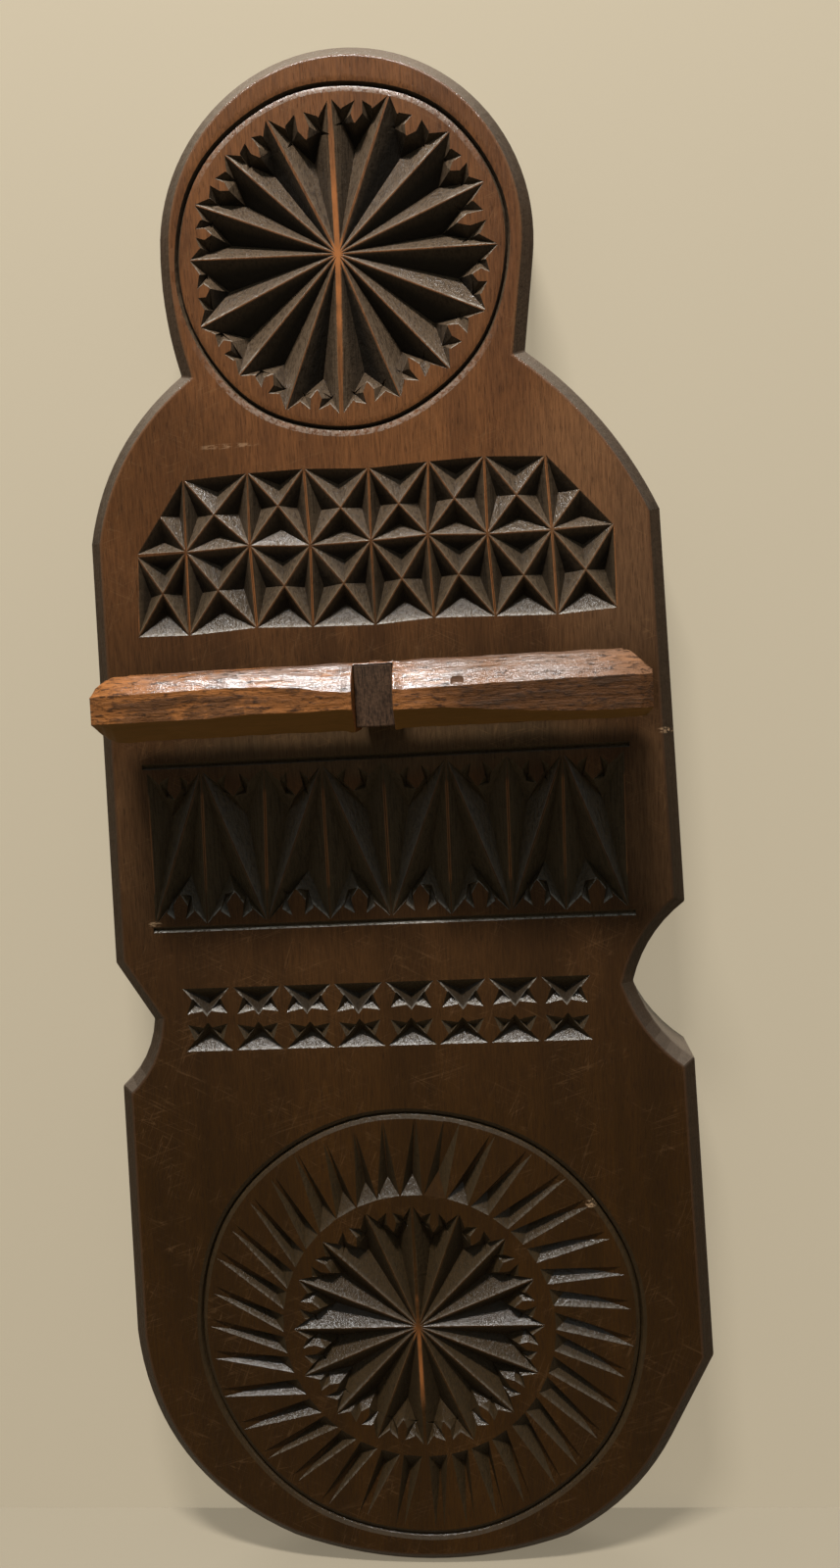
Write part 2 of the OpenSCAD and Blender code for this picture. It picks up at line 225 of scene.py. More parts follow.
def cut_away(piece, tools):
    """Joins the cutting shapes into one and takes it out of a piece."""
    bpy.ops.object.select_all(action="DESELECT")
    for tool in tools:
        tool.select_set(True)
    cutter = tools[0]
    bpy.context.view_layer.objects.active = cutter
    if len(tools) > 1:
        bpy.ops.object.join()
    bpy.ops.object.mode_set(mode="EDIT")
    bpy.ops.mesh.select_all(action="SELECT")
    bpy.ops.mesh.normals_make_consistent(inside=False)
    bpy.ops.object.mode_set(mode="OBJECT")
    cut = piece.modifiers.new("cut", "BOOLEAN")
    cut.solver = "EXACT"
    cut.use_self = True
    cut.object = cutter
    bpy.context.view_layer.objects.active = piece
    bpy.ops.object.modifier_apply(modifier=cut.name)
    bpy.data.objects.remove(cutter)


chips, nicks = [], []


def crown(left, tip, right, girth, spread, depth):
    """Two cuts that open a pit's end beside a leaf, and leave it a neck and two side points."""
    base = (left + right) / 2
    rise = tip - base
    for corner in (left, right):
        aside = corner - base
        beyond = base + rise * 1.05
        widest = base + rise * 0.67 + aside * 0.19 * girth + off(0.15)
        neck = base + rise * 0.2 + aside * 0.14 * girth + off(0.15)
        horn = base + rise * 0.43 + aside * 0.5 + off(0.2)
        open_end = base + rise * 1.1 + aside * 0.7 * spread
        deepest = base + rise * 0.86 + aside * 0.5 * spread
        nicks.append(chip([beyond, widest, neck, horn, open_end], deepest, depth, 0))


def rosette(centre, tips, ridges, bud_r, depth):
    """Petals between ridges that run out to their tips, each stopped by a crown of wood."""
    for i, right in enumerate(tips):
        after = (i + 1) % len(tips)
        left = tips[after]
        out = ((left + right) / 2 - centre).normalized()
        bud = centre + out * bud_r[i] + off(0.3)
        pit = centre + out * (bud_r[i] - 3.8) + off(0.25)
        insets = [ridges[i] / 2, 0.1, 0.1, ridges[after] / 2]
        chips.append(chip([centre, right, bud, left], pit, depth + hand.uniform(-0.3, 0.3), insets))
        crown(left, bud, right, 1, 1, depth * 0.58)


# The two rosettes: the upper one as uneven as it was cut, the lower one with small slips
petals = 16
sharp = 0.25
upper_depth, lower_depth, lower_reach = 4.6, 4.1, 32
upper_centre = Vector((-5, 323.2))
upper_lean = [0, 3, 1, 0, -2, 0.5, 1, 0, -2, -1.5, -3.5, -2, -1, -1.5, -2.5, 0.5]
upper_reach = [35, 34.8, 35, 35.8, 35, 36.4, 36, 37.6, 36.8, 36, 37.4, 37, 37.2, 37.2, 37, 37]
upper_bud = [26.5, 28.5, 29.5, 30, 31, 31.8, 31, 31, 30, 29, 30.5, 32, 28.5, 31.7, 30.3, 29]
upper_tips = [
    turned(upper_centre, r, 90 + i * 360 / petals + lean)
    for i, (r, lean) in enumerate(zip(upper_reach, upper_lean))
]
upper_ridges = [1.0, 0.5, *[sharp] * 6, 1.0, *[sharp] * 6, 0.45]
rosette(upper_centre, upper_tips, upper_ridges, upper_bud, upper_depth)

lower_centre = Vector((0, 63.5))
lower_tips = [
    turned(lower_centre, lower_reach, 90 + i * 360 / petals) + off(0.6)
    for i in range(petals)
]
lower_bud = [25.2 + hand.uniform(-0.5, 0.5) for _ in range(petals)]
lower_ridges = [0.7, *[sharp] * 7, 0.8, *[sharp] * 7]
rosette(lower_centre, lower_tips, lower_ridges, lower_bud, lower_depth)

# The ring of rays, one of them cut much wider than the rest
rays, wide_ray = 37, 8
ray_base, ray_tip, ray_depth = 34, 53, 2.5
for i in range(rays):
    angle = 360 * (i + 0.25) / rays + hand.uniform(-0.6, 0.6)
    if i == wide_ray:
        places = ((ray_base, 75.5), (54, 76), (54, 80.5), (ray_base, 85))
        corners = [turned(lower_centre, r, a) for r, a in places]
        chips.append(chip(corners, turned(lower_centre, 40, 80), 2))
        continue
    level = math.cos(math.radians(angle))
    lean = -2 - 5 * abs(level) + min(2.5 * level, 0)
    above = max(0, math.cos(math.radians(angle - 103))) ** 4
    half = 4.1 + above + hand.uniform(-0.3, 0.2)
    blunt = 1.3 - above
    reach = ray_tip + off(0.8).x
    corners = [turned(lower_centre, ray_base, angle - half),
               turned(lower_centre, reach, angle + lean - blunt),
               turned(lower_centre, reach, angle + lean + blunt),
               turned(lower_centre, ray_base, angle + half)]
    deepest = turned(lower_centre, 38.4, angle + lean * 0.2 + 2 * level)
    chips.append(chip(corners, deepest, ray_depth))

# Two rows of stars under the head, with the upper row cut to a slope at both ends
star_depth = 3.1
star_foot, star_mid, star_top = 238, 257.5, 274.8
star_low_x = [-58.5, -46, -29.5, -16, -1, 13, 27.5, 42, 56]
star_mid_x = [-57.5, -45.5, -30, -15.5, -1, 12.5, 26.5, 41.5, 56]
star_top_x = [-45, -29.5, -16, -0.7, 13.5, 26.5, 40.7]


def star_cell(x0, x1, x2, x3, y0, y1, reach):
    """Four chips that leave a cross of ridges; reach places the lowest chip's deepest point."""
    square = ((x0, y0), (x1, y0), (x2, y1), (x3, y1))
    corners = [Vector((x, y + 0.5 * math.sin(x / 7 + y))) for x, y in square]
    centre = sum(corners, Vector((0, 0))) / 4 + off(0.7)
    for i, p in enumerate(corners):
        q = corners[(i + 1) % 4]
        deepest = ((p + q) / 2).lerp(centre, 0.36 if i else reach) + off(0.3)
        chips.append(chip([p, q, centre], deepest, star_depth + hand.uniform(-0.3, 0.3)))


cells = len(star_low_x) - 1
for i in range(cells):
    star_cell(star_low_x[i], star_low_x[i + 1], star_mid_x[i + 1], star_mid_x[i],
              star_foot, star_mid, 0.52)
for i in range(1, cells - 1):
    star_cell(star_mid_x[i], star_mid_x[i + 1], star_top_x[i], star_top_x[i - 1],
              star_mid, star_top, 0.43)
for outer_x, inner_x, top_x in ((star_mid_x[0], star_mid_x[1], star_top_x[0]),
                                (star_mid_x[-1], star_mid_x[-2], star_top_x[-1])):
    outer, inner = Vector((outer_x, star_mid)), Vector((inner_x, star_mid))
    top = Vector((top_x, star_top))
    slope = (outer + top) / 2
    for corners in ([outer, inner, slope], [inner, top, slope]):
        chips.append(chip(corners, sum(corners, Vector((0, 0))) / 3, 3))

# The zigzag band under the bar: tall pits in pairs, parted by slanting ridges
zigzag_depth, leaf_depth = 4, 2.3
zigzag_foot, zigzag_top = 167.2, 205.3
zigzag_low_x = [-59.5, -46.5, -31.5, -16, -1, 13.5, 28, 41, 56]
zigzag_top_x = [-59, -45.5, -30, -16, -1.2, 14, 28.5, 41.7, 56.3]


def zigzag_pit(left, right, far, rise):
    """A tall pit between two corners of its base and a far point, with a bud at its base."""
    base = (left + right) / 2
    inward = Vector((0, math.copysign(1, far.y - base.y)))
    bud = base + inward * rise + off(0.4)
    pit = base.lerp(far, 0.31)
    chips.append(chip([left, bud, right, far], pit, zigzag_depth + hand.uniform(-0.3, 0.3)))
    crown(left, bud, right, 1.45, 0.65, leaf_depth)


for i in range(cells):
    low_left, low_right = [Vector((x, zigzag_foot)) for x in zigzag_low_x[i:i + 2]]
    top_left, top_right = [Vector((x, zigzag_top)) for x in zigzag_top_x[i:i + 2]]
    rising = i % 2 == 0
    zigzag_pit(low_left, low_right, top_right if rising else top_left, 7.6)
    zigzag_pit(top_left, top_right, low_left if rising else low_right, 6.7)

# The narrow band: chips in pairs, point to point, each with a nick at both sides
narrow_first, narrow_pitch, narrow_half = -48, 12.6, 6.1
narrow_pairs, narrow_depth, nick_depth = 8, 2.9, 1.4
for i in range(narrow_pairs):
    x = narrow_first + i * narrow_pitch
    for foot, tip_h, deep_h, up in ((135.4, 142.6, 139, 1), (151.5, 143.8, 148, -1)):
        left, right = Vector((x - narrow_half, foot)), Vector((x + narrow_half, foot))
        tip = Vector((x, tip_h)) + off(0.4)
        chips.append(chip([left, right, tip], Vector((x, deep_h)) + off(0.3), narrow_depth))
        for corner, side in ((left, -1), (right, 1)):
            p, q = corner.lerp(tip, 0.35), corner.lerp(tip, 0.8)
            base = (p + q) / 2
            point = base + Vector((side * 2.6, up * 2.4)) + off(0.25)
            inside = (Vector((x, (foot + tip_h) / 2)) - base).normalized() * 0.5
            nicks.append(chip([p + inside, point, q + inside], base, nick_depth, 0))


def ring_groove(centre, r, swell, width, depth, shoulder):
    """A hand-cut ring: a torus of five sides moved to a V with worn shoulders, which wanders."""
    steps = 96
    bpy.ops.object.select_all(action="DESELECT")
    bpy.ops.mesh.primitive_torus_add(major_segments=steps, minor_segments=5, location=(0, 0, 0))
    tool = bpy.context.object
    top, worn_down = 0.3, 0.35
    turn = width / 2 * (1 - worn_down / depth)
    worn_out = shoulder + (shoulder - turn) * top / worn_down
    section = [(worn_out, board_t + top), (-worn_out, board_t + top), (-turn, board_t - worn_down),
               (0, board_t - depth), (turn, board_t - worn_down)]
    for i in range(steps):
        angle = 360 * i / steps
        wander = 0.25 * math.sin(math.radians(3 * angle + 40))
        wander += 0.15 * math.sin(math.radians(8 * angle))
        wander += swell * max(0, math.cos(math.radians(angle - 45))) ** 4
        for j, (wide, out) in enumerate(section):
            p = turned(centre, r + wander + wide, angle)
            tool.data.vertices[i * 5 + j].co = spot(p.x, p.y, out)
    return tool


# The rings, the two border lines, the mortise and the hanging hole
upper_ring, upper_ring_r, lower_ring_r = Vector((-4.75, 322.4)), 38.5, 55
nicks.append(ring_groove(upper_ring, upper_ring_r, 1.2, 1.5, 1.5, 1.9))
nicks.append(ring_groove(lower_centre, lower_ring_r, 0, 1.3, 1.2, 1.3))
border_left, border_long, border_depth = -60, 117.5, 0.8
for h, width in ((206.5, 0.9), (166.3, 1.0)):
    ends = [spot(border_left, h + width, board_t + 0.3), spot(border_left, h, board_t - border_depth),
            spot(border_left, h - width, board_t + 0.3)]
    nicks.append(slab("border_line", ends, (border_long * MM, 0, 0)))

arm_low, arm_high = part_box("arm")
play = 0.1
mortise_x = arm_high[0] / MM + play
bar_h0, mortise_half = 221, 4.9
hole_r, hole_depth = 3, 9
mortise = [spot(sx * mortise_x, bar_h0 + sy * mortise_half, board_t + 1)
           for sx, sy in ((-1, -1), (1, -1), (1, 1), (-1, 1))]
nicks.append(slab("mortise", mortise, (0, (board_t + 2) * MM, 0)))
hole = [spot(p.x, p.y, -1) for p in swept((0, -foot_z / MM), hole_r, 0, 337.5, 15)]
nicks.append(slab("hanging_hole", hole, (0, -(hole_depth + 1) * MM, 0)))

cut_away(board, chips)
cut_away(board, nicks)
for cone in cones.values():
    bpy.data.objects.remove(cone)


def from_edge(p):
    """How far a point of the front lies from the board's outline."""
    nearest = board_t
    for i, a in enumerate(outline):
        along = outline[i - 1] - a
        share = min(max((p - a).dot(along) / along.length_squared, 0), 1)
        nearest = min(nearest, (p - a - along * share).length)
    return nearest


rim = board.data.attributes.new("rim", "FLOAT", "FACE")
for face in board.data.polygons:
    place = Vector((face.center.x, face.center.z - foot_z)) / MM
    on_rim = -0.999 < face.normal.y < 0.9 and from_edge(place) < bevel_w + 0.4
    rim.data[face.index].value = float(on_rim)


def smooth_faces(piece, angle):
    """Smooths the shading over edges flatter than an angle, with each big face kept true."""
    bpy.ops.object.select_all(action="DESELECT")
    piece.select_set(True)
    bpy.context.view_layer.objects.active = piece
    bpy.ops.object.shade_smooth_by_angle(angle=math.radians(angle))
    true_faces = piece.modifiers.new("true_faces", "WEIGHTED_NORMAL")
    true_faces.keep_sharp = True
    bpy.ops.object.modifier_apply(modifier=true_faces.name)


smooth_faces(board, 18)


def add_node(tree, kind, inputs=None, **settings):
    """Adds a node, sets its properties, and sets or links its inputs by name or number."""
    node = tree.nodes.new(kind)
    for name, value in settings.items():
        setattr(node, name, value)
    for name, value in (inputs or {}).items():
        if isinstance(value, bpy.types.NodeSocket):
            tree.links.new(value, node.inputs[name])
        else:
            node.inputs[name].default_value = value
    return node


def shared_effect(name, inputs, outputs):
    """An empty node group with named sockets, and its two end nodes."""
    group = bpy.data.node_groups.new(name, "ShaderNodeTree")
    for label, kind, value in inputs:
        socket = group.interface.new_socket(label, in_out="INPUT", socket_type=kind)
        if value is not None:
            socket.default_value = value
    for label, kind in outputs:
        group.interface.new_socket(label, in_out="OUTPUT", socket_type=kind)
    way_in, way_out = group.nodes.new("NodeGroupInput"), group.nodes.new("NodeGroupOutput")
    return group, way_in.outputs, way_out.inputs


def ramp(tree, value, low, high, top=1.0):
    """A value that goes from 0 at low to top at high, easing at both ends."""
    limits = {"Value": value, "From Min": low, "From Max": high, "To Max": top}
    node = add_node(tree, "ShaderNodeMapRange", limits)
    node.interpolation_type = "SMOOTHSTEP"
    return node.outputs["Result"]


def math_of(tree, operation, a, b=0.0):
    """One step of arithmetic on values that change over the surface."""
    return add_node(tree, "ShaderNodeMath", {0: a, 1: b}, operation=operation).outputs[0]


def plus(tree, a, b):
    return math_of(tree, "ADD", a, b)


def minus(tree, a, b):
    return math_of(tree, "SUBTRACT", a, b)


def times(tree, a, b):
    return math_of(tree, "MULTIPLY", a, b)


def rest(tree, share):
    """What a share leaves of the whole."""
    return minus(tree, 1, share)


def mixed(tree, share, a, b):
    """A colour between two others, with a share of the second."""
    return add_node(tree, "ShaderNodeMix", {0: share, 6: a, 7: b}, data_type="RGBA").outputs[2]


def mapped(tree, where, scale=(1, 1, 1), turn=(0, 0, 0)):
    """Coordinates that draw a pattern out or make it run another way."""
    settings = {"Vector": where, "Scale": scale, "Rotation": turn}
    return add_node(tree, "ShaderNodeMapping", settings).outputs[0]


def tint(r, g, b):
    """A colour given as it looks on a screen, from 0 to 255."""
    parts = [c / 255 for c in (r, g, b)]
    return (*[c / 12.92 if c <= 0.04045 else ((c + 0.055) / 1.055) ** 2.4 for c in parts], 1)


grain, grain_in, grain_out = shared_effect(
    "wood_grain",
    [("Vector", "NodeSocketVector", None), ("Figure Size", "NodeSocketFloat", 70.0),
     ("Fibre Size", "NodeSocketFloat", 1900.0)],
    [("Figure", "NodeSocketFloat"), ("Fibres", "NodeSocketFloat"), ("Pores", "NodeSocketFloat")],
)
drawn_out = mapped(grain, grain_in["Vector"], (1, 1, 0.08))
figure = add_node(grain, "ShaderNodeTexNoise", {"Vector": drawn_out, "Scale": grain_in["Figure Size"],
                                                "Detail": 4, "Distortion": 0.6})
fibres = add_node(grain, "ShaderNodeTexNoise", {"Vector": drawn_out, "Scale": grain_in["Fibre Size"],
                                                "Detail": 3, "Roughness": 0.6})
pore_scale = times(grain, grain_in["Fibre Size"], 2.1)
pores = add_node(grain, "ShaderNodeTexNoise", {"Vector": drawn_out, "Scale": pore_scale, "Detail": 1})
grain.links.new(ramp(grain, figure.outputs[0], 0.3, 0.7), grain_out["Figure"])
grain.links.new(ramp(grain, fibres.outputs[0], 0.3, 0.72), grain_out["Fibres"])
grain.links.new(ramp(grain, pores.outputs[0], 0.6, 0.72), grain_out["Pores"])


def grain_on(tree, where, sizes):
    """The grain's figure, fibres and pores on a piece, with sizes of its own."""
    return add_node(tree, "ShaderNodeGroup", {"Vector": where, **sizes}, node_tree=grain).outputs


def new_material(name, roughness, specular=0.5):
    """A material with a Principled shader, and the object coordinates that it reads."""
    material = bpy.data.materials.new(name)
    material.use_nodes = True
    tree = material.node_tree
    shader = tree.nodes["Principled BSDF"]
    shader.inputs["Specular IOR Level"].default_value = specular
    if roughness is not None:
        shader.inputs["Roughness"].default_value = roughness
    where = tree.nodes.new("ShaderNodeTexCoord").outputs["Object"]
    return material, tree, shader, where


def in_mm(tree, where):
    """Sockets for a place on the piece: across, up from the foot, and in from the board's front."""
    parts = add_node(tree, "ShaderNodeSeparateXYZ", {0: where}).outputs
    height = times(tree, minus(tree, parts["Z"], foot_z), 1 / MM)
    depth = times(tree, plus(tree, parts["Y"], board_t * MM), 1 / MM)
    return times(tree, parts["X"], 1 / MM), height, depth


def patch(tree, x, h, middle, reach):
    """1 at a place on the front, fading to 0 at its reach across and up, in millimetres."""
    dx = math_of(tree, "DIVIDE", minus(tree, x, middle[0]), reach[0])
    dh = math_of(tree, "DIVIDE", minus(tree, h, middle[1]), reach[1])
    far = plus(tree, times(tree, dx, dx), times(tree, dh, dh))
    return rest(tree, ramp(tree, far, 0.2, 1))


def facing_of(tree):
    """The three parts of the direction that a face looks in."""
    normal = tree.nodes.new("ShaderNodeNewGeometry").outputs["True Normal"]
    return add_node(tree, "ShaderNodeSeparateXYZ", {0: normal}).outputs


def noise(tree, where, scale, detail, roughness=0.55):
    """Soft spots of a size, from 0 to 1."""
    settings = {"Vector": where, "Scale": scale, "Detail": detail, "Roughness": roughness}
    return add_node(tree, "ShaderNodeTexNoise", settings).outputs[0]


def away_from(tree, x, h, centre):
    """Distance on the front from a centre, in millimetres."""
    dx = minus(tree, x, centre.x)
    dh = minus(tree, h, centre.y)
    square = plus(tree, times(tree, dx, dx), times(tree, dh, dh))
    return math_of(tree, "SQRT", square)


def band(tree, h, middle, half, share):
    """A share over a band of heights, fading out over its last two millimetres."""
    away = math_of(tree, "ABSOLUTE", minus(tree, h, middle))
    return times(tree, rest(tree, ramp(tree, away, half - 2, half)), share)


# Where a place lies, how its face is turned, and whether it is bevel, cut or bare face
stain, tree, shader, where = new_material("stained_carved_wood", None, 0.08)
wood = grain_on(tree, where, {})
x, height, depth = in_mm(tree, where)
facing = facing_of(tree)
across = math_of(tree, "ABSOLUTE", facing["X"])
sideways = minus(tree, across, times(tree, math_of(tree, "ABSOLUTE", facing["Z"]), 0.8))
tilt = plus(tree, facing["Y"], 1)
carved = ramp(tree, tilt, 0.045, 0.09)
flat = rest(tree, carved)
edged = add_node(tree, "ShaderNodeAttribute", attribute_name="rim").outputs["Fac"]
in_cut = minus(tree, carved, edged)
low = rest(tree, ramp(tree, height, 215, 290))
foot = rest(tree, ramp(tree, height, 90, 190))
star_row = band(tree, height, 247, 11, 0.5)
blotch = noise(tree, where, 38, 5, 0.6)
rough_cut = noise(tree, where, 900, 4, 0.7)

# Places that hands and cloths have rubbed, and how far down a pit a place is
worn_stars, worn_zigzag = band(tree, height, 256.5, 19, 1), band(tree, height, 187.5, 13, 0.5)
worn = math_of(tree, "MAXIMUM", worn_stars, worn_zigzag)
crest, valley = 0, 3
for centre, reach, slope, share in ((upper_centre, 30, 0.17, 1), (lower_centre, 23, 0.15, 0.45)):
    far = away_from(tree, x, height, centre)
    middle_line = times(tree, patch(tree, x, height, centre, (1.7, reach)), flat)
    crest = math_of(tree, "MAXIMUM", crest, middle_line)
    petals_worn = times(tree, rest(tree, ramp(tree, far, reach - 4, reach - 1)), share)
    worn = math_of(tree, "MAXIMUM", worn, petals_worn)
    inside = math_of(tree, "LESS_THAN", far, reach + 8)
    petal = minus(tree, times(tree, math_of(tree, "MAXIMUM", far, 3), slope), 3)
    valley = plus(tree, valley, times(tree, petal, inside))
near_top = rest(tree, ramp(tree, depth, 0.04, 0.3))
rubbed_and_lit_rims = times(tree, times(tree, in_cut, near_top), worn)
ridge = times(tree, ramp(tree, sideways, 0.42, 0.58), rubbed_and_lit_rims)
ridge = times(tree, math_of(tree, "MAXIMUM", ridge, crest), ramp(tree, blotch, 0.3, 0.55))
deep = ramp(tree, math_of(tree, "DIVIDE", depth, valley), 0.06, 0.6)

# The bare face, darker towards the foot, with a few places of another tone, and painted light at both
# ends of the bar's shadow and under the bar
high_land = mixed(tree, wood["Figure"], tint(122, 77, 43), tint(98, 61, 35))
low_land = mixed(tree, wood["Figure"], tint(80, 52, 28), tint(62, 40, 21))
foot_land = mixed(tree, wood["Figure"], tint(65, 40, 13), tint(50, 31, 10))
brown = mixed(tree, low, high_land, mixed(tree, foot, low_land, foot_land))
tones_and_painted_light = [
    ((60, 262), (34, 44), 0.36, tint(134, 98, 68)),
    ((-52, 276), (26, 24), 0.6, tint(84, 52, 26)),
    # Painted light: paler patches at both ends of the bar's shadow, and a paler, greyer strip in the
    # bar's shade
    ((64, 187), (10, 30), 0.5, tint(112, 80, 52)),
    ((-62, 187), (9, 28), 0.3, tint(112, 80, 52)),
    ((0, 209), (64, 9), 0.5, tint(84, 70, 50)),
]
for middle, reach, share, tone in tones_and_painted_light:
    brown = mixed(tree, times(tree, patch(tree, x, height, middle, reach), share), brown, tone)
brown = mixed(tree, times(tree, wood["Fibres"], 0.45), brown, tint(42, 25, 12))
brown = mixed(tree, times(tree, wood["Pores"], 0.45), brown, tint(34, 21, 11))

# The cut facets: torn grey-brown wood, with painted shade where they look down, at the bottom of the pits
# and on the narrow band's side facets
facet = mixed(tree, low, tint(96, 80, 62), mixed(tree, foot, tint(74, 61, 43), tint(60, 46, 28)))
torn = plus(tree, times(tree, rough_cut, 0.6), times(tree, wood["Fibres"], 0.4))
torn_facet = mixed(tree, low, tint(42, 33, 23), tint(46, 37, 24))
facet = mixed(tree, ramp(tree, torn, 0.4, 0.7, 0.6), facet, torn_facet)
brown = mixed(tree, times(tree, carved, 0.9), brown, facet)
# Painted shade: facets that look down are darkened
shaded = rest(tree, ramp(tree, facing["Z"], -0.2, 0.15))
painted_down_shade = times(tree, in_cut, minus(tree, 0.7, times(tree, low, 0.4)))
brown = mixed(tree, times(tree, painted_down_shade, shaded), brown, tint(32, 26, 19))
# Painted shade: the cuts darken towards the bottom of each pit, most where they look down and in the star
# rows
painted_pit_shade = minus(tree, 0.92, times(tree, low, 0.55))
painted_pit_shade = minus(tree, painted_pit_shade, band(tree, height, 186.5, 21, 0.25))
painted_pit_shade = times(tree, painted_pit_shade, in_cut)
turned_down = plus(tree, plus(tree, times(tree, shaded, 0.7), 0.3), star_row)
painted_pit_shade = times(tree, painted_pit_shade, turned_down)
brown = mixed(tree, times(tree, deep, painted_pit_shade), brown, tint(26, 22, 17))
# Painted shade on the side facets of the narrow band's chips
painted_wing_shade = times(tree, band(tree, height, 147.8, 5, 0.6), ramp(tree, across, 0.25, 0.45))
brown = mixed(tree, times(tree, painted_wing_shade, in_cut), brown, tint(34, 25, 16))

# Paler edges: the rims of the cuts, worn and partly a painted highlight; a painted highlight on the lips
# that look up; and a painted glare on the rings' shoulders
# The rims of the cuts: worn paler, and partly a painted highlight
brown = mixed(tree, times(tree, rubbed_and_lit_rims, 0.2), brown, tint(150, 112, 80))
# Painted highlight on the lips of cuts that look up, left out in the bar's shadow and faded towards the
# foot
painted_lip_highlight = times(tree, in_cut, ramp(tree, facing["Z"], 0.3, 0.55))
painted_lip_highlight = times(tree, painted_lip_highlight, rest(tree, ramp(tree, depth, 0.15, 0.6)))
painted_lip_highlight = times(tree, painted_lip_highlight, ramp(tree, rough_cut, 0.38, 0.55))
painted_lip_highlight = times(tree, painted_lip_highlight, rest(tree, band(tree, height, 206.5, 5, 1)))
painted_lip_highlight = times(tree, painted_lip_highlight, minus(tree, 0.6, times(tree, worn, 0.48)))
painted_lip_highlight = times(tree, painted_lip_highlight, rest(tree, times(tree, foot, 0.75)))
brown = mixed(tree, painted_lip_highlight, brown, tint(176, 164, 148))
shoulder = times(tree, ramp(tree, tilt, 0.01, 0.025), ramp(tree, facing["Z"], 0.1, 0.22))
shoulder = times(tree, shoulder, minus(tree, flat, low))
# Painted glare on the gently sloping shoulders that look up
painted_shoulder_glare = times(tree, shoulder, ramp(tree, rough_cut, 0.4, 0.55))
brown = mixed(tree, times(tree, painted_shoulder_glare, 0.38), brown, tint(172, 154, 136))

# The bevel and sides: darker, with a painted grey glare on top, paler along the front arris; then the
# bare ridges
brown = mixed(tree, times(tree, edged, 0.75), brown, tint(56, 41, 29))
# Painted glare where the bevel looks up
painted_top_glare = times(tree, edged, ramp(tree, facing["Z"], 0.3, 0.6))
brown = mixed(tree, times(tree, painted_top_glare, 0.65), brown, tint(128, 112, 96))
arris = times(tree, edged, ramp(tree, times(tree, facing["Y"], -1), 0.8, 0.88))
arris = times(tree, arris, minus(tree, 0.4, times(tree, low, 0.3)))
brown = mixed(tree, arris, brown, tint(136, 88, 52))
brown = mixed(tree, times(tree, ridge, 0.75), brown, tint(176, 108, 58))

# Hairline scratches over the bare face, and four scuffs
worn_away = ramp(tree, noise(tree, where, 90, 4, 0.65), 0.4, 0.66)
for angle in (-0.5, 0.3, 1.2):
    pulled = mapped(tree, mapped(tree, where, turn=(0, angle, 0)), (0.04, 1, 1))
    aside = math_of(tree, "ABSOLUTE", minus(tree, noise(tree, pulled, 520, 2), 0.5))
    hairline = times(tree, rest(tree, ramp(tree, aside, 0.003, 0.01)), worn_away)
    hairline = times(tree, hairline, flat)
    brown = mixed(tree, times(tree, hairline, 0.16), brown, tint(136, 100, 66))
speckle = ramp(tree, noise(tree, mapped(tree, where, (0.25, 1, 1)), 1600, 3, 0.7), 0.45, 0.6)
for middle, reach, share in (((-34, 281.5), (9, 0.7), 0.3), ((66.2, 209.3), (2.6, 0.9), 0.6),
                             ((-59.5, 167.8), (2, 0.9), 0.8), ((44, 94.5), (1.6, 1.2), 0.8)):
    scuff = times(tree, patch(tree, x, height, middle, reach), speckle)
    brown = mixed(tree, times(tree, scuff, share), brown, tint(196, 158, 120))

# The sawn back has no stain
back = ramp(tree, facing["Y"], 0.8, 0.95)
sawn = mixed(tree, wood["Figure"], tint(112, 80, 52), tint(86, 60, 38))
brown = mixed(tree, back, brown, sawn)
tree.links.new(brown, shader.inputs["Base Color"])

# Wax shines on the cut facets that look up; the face is half matt, and the back quite matt
waxed = times(tree, carved, minus(tree, 0.9, times(tree, deep, 0.4)))
waxed = times(tree, waxed, ramp(tree, facing["Z"], 0, 0.35))
leaning = ramp(tree, across, 0.12, 0.3)
dull = times(tree, times(tree, foot, leaning), 0.75)
waxed = times(tree, waxed, rest(tree, dull))
waxed = times(tree, waxed, rest(tree, star_row))
waxed = math_of(tree, "MAXIMUM", waxed, times(tree, shoulder, 0.6))
tree.links.new(waxed, shader.inputs["Coat Weight"])
shader.inputs["Coat Roughness"].default_value = 0.24
gloss = plus(tree, times(tree, wood["Fibres"], 0.08), 0.42)
gloss = plus(tree, gloss, times(tree, back, 0.3))
tree.links.new(gloss, shader.inputs["Roughness"])
relief = plus(tree, wood["Fibres"], times(tree, wood["Pores"], -0.8))
knife_marks = times(tree, plus(tree, noise(tree, where, 420, 3), rough_cut), carved)
relief = plus(tree, relief, times(tree, knife_marks, 3))
bump = add_node(tree, "ShaderNodeBump", {"Height": relief, "Strength": 0.35, "Distance": 0.0002})
tree.links.new(bump.outputs[0], shader.inputs["Coat Normal"])
tree.links.new(bump.outputs[0], shader.inputs["Normal"])
board.data.materials.clear()
board.data.materials.append(stain)
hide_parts("board")
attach(board, "root")


# The bracket arm
# One piece of dark hardwood. Its tenon goes right through the board and is wedged from behind.
# Its outer end is notched to take the bar, and shows its end grain in the middle of the bar.

